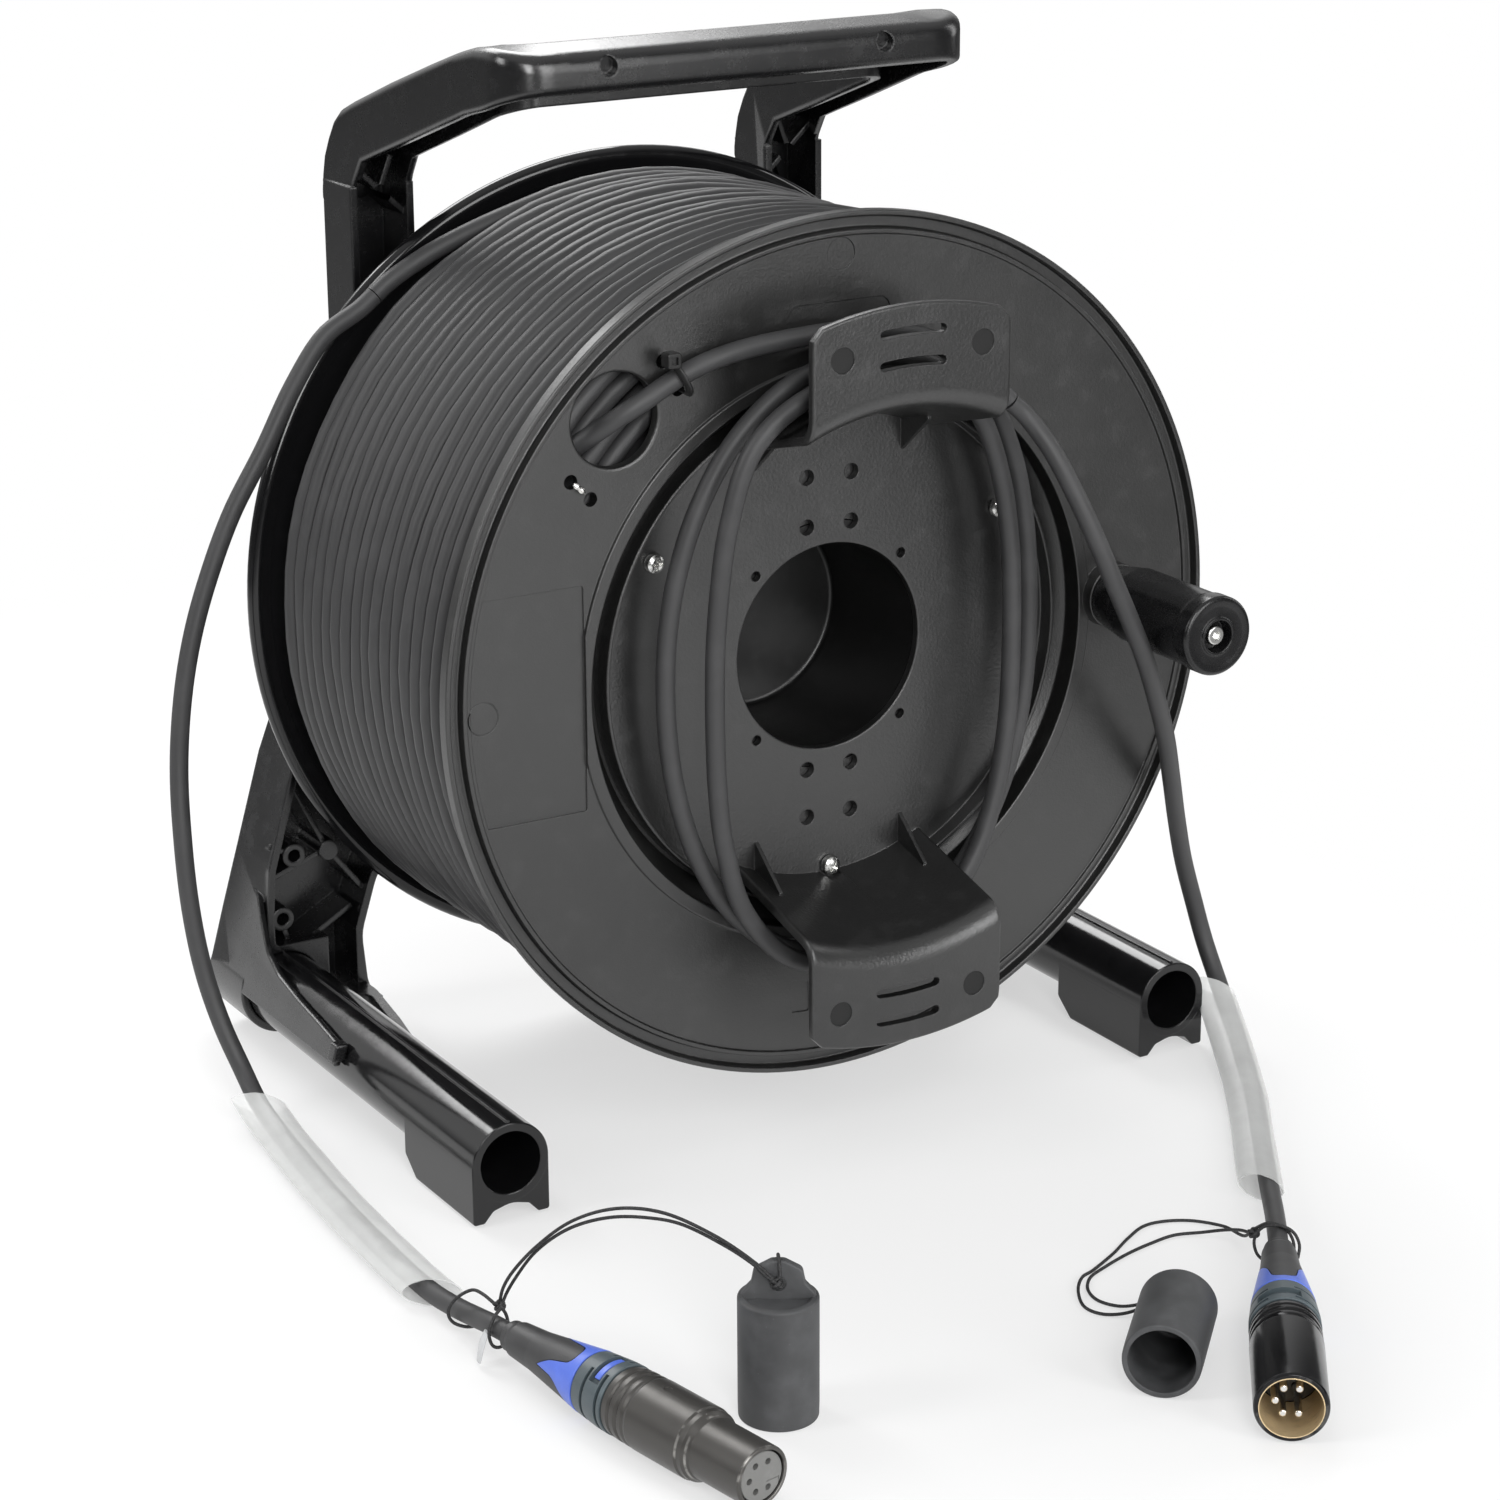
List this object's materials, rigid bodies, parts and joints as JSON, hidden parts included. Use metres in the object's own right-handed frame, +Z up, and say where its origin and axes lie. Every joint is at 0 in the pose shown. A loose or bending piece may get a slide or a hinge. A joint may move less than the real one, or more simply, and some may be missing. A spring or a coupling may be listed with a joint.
{
  "type": "cable drum with dmx cable",
  "caption": "Portable cable drum with a data cable wound on it, both ends stowed at the front, in a tilted-handle frame on two foot tubes.",
  "frame": {"origin": "on the floor, under the middle of the frame and drum, leads left out", "axes": "+Z up, -Y towards the drum's open front with the crank, +X to the right seen from the front"},
  "size_m": [0.3016, 0.3935, 0.3116],
  "materials": {
    "gloss_black": "gloss",
    "satin_black": "satin, fine grain",
    "cable_grey": "matte",
    "rubber": "matte",
    "blue": "satin",
    "grey_ring": "satin",
    "black_metal": "satin",
    "insert_black": "satin",
    "silver": "bright",
    "zinc": "bright zinc",
    "steel": "turned",
    "clear_sleeve": "clear, milky",
    "lanyard": "cord",
    "white_cord": "cord",
    "nylon_washer": "matte"
  },
  "bodies": {
    "frame": {"back_frame": "gloss_black", "foot_tube_left": "gloss_black", "foot_tube_right": "gloss_black", "axle_stub": "steel", "thrust_washer": "nylon_washer", "retaining_ring": "steel", "outer_lead": "cable_grey", "outer_sleeve": "clear_sleeve", "female_boot": "rubber", "female_marking_ring": "blue", "female_ring": "grey_ring", "female_shell": "black_metal", "female_insert": "insert_black", "standing_cap": "rubber", "standing_lanyard": "lanyard", "knot_tail": "white_cord", "inner_lead": "cable_grey", "inner_sleeve": "clear_sleeve", "male_boot": "rubber", "male_marking_ring": "blue", "male_ring": "grey_ring", "male_shell": "black_metal", "male_insert": "insert_black", "pin_1": "silver", "pin_2": "silver", "pin_3": "silver", "pin_4": "silver", "pin_5": "silver", "lying_cap": "rubber", "lying_lanyard": "lanyard"},
    "drum": {"front_flange": "satin_black", "rear_flange": "gloss_black", "drum_barrel": "satin_black", "hub_cup": "satin_black", "winding_core": "cable_grey", "winding": "cable_grey", "winding_bracket": "satin_black", "bracket_screw_1": "zinc", "bracket_screw_2": "zinc", "bracket_screw_3": "zinc", "storage_wraps": "cable_grey", "cable_tie": "satin_black", "wire_tie": "silver", "crank_pin": "steel", "knob_screw": "zinc"},
    "crank_knob": {"crank_knob": "gloss_black"},
    "latch": {"latch_button": "black_metal"}
  },
  "joints": [
    {"name": "drum_spin", "type": "hinge", "parent": "frame", "child": "drum", "pos_m": [0, 0.0635, 0.14385], "axis": [0, 1, 0], "continuous": true, "deforming": ["inner_lead", "outer_lead"]},
    {"name": "crank_knob_spin", "type": "hinge", "parent": "drum", "child": "crank_knob", "pos_m": [0.0917, -0.08325, 0.14745], "axis": [0, 1, 0], "continuous": true},
    {"name": "latch_press", "type": "slide", "parent": "frame", "child": "latch", "axis": [-0.9842, -0.177, 0], "range_m": [0, 0.0015], "stiffness_N_per_m": 300, "springref_m": -0.002}
  ]
}
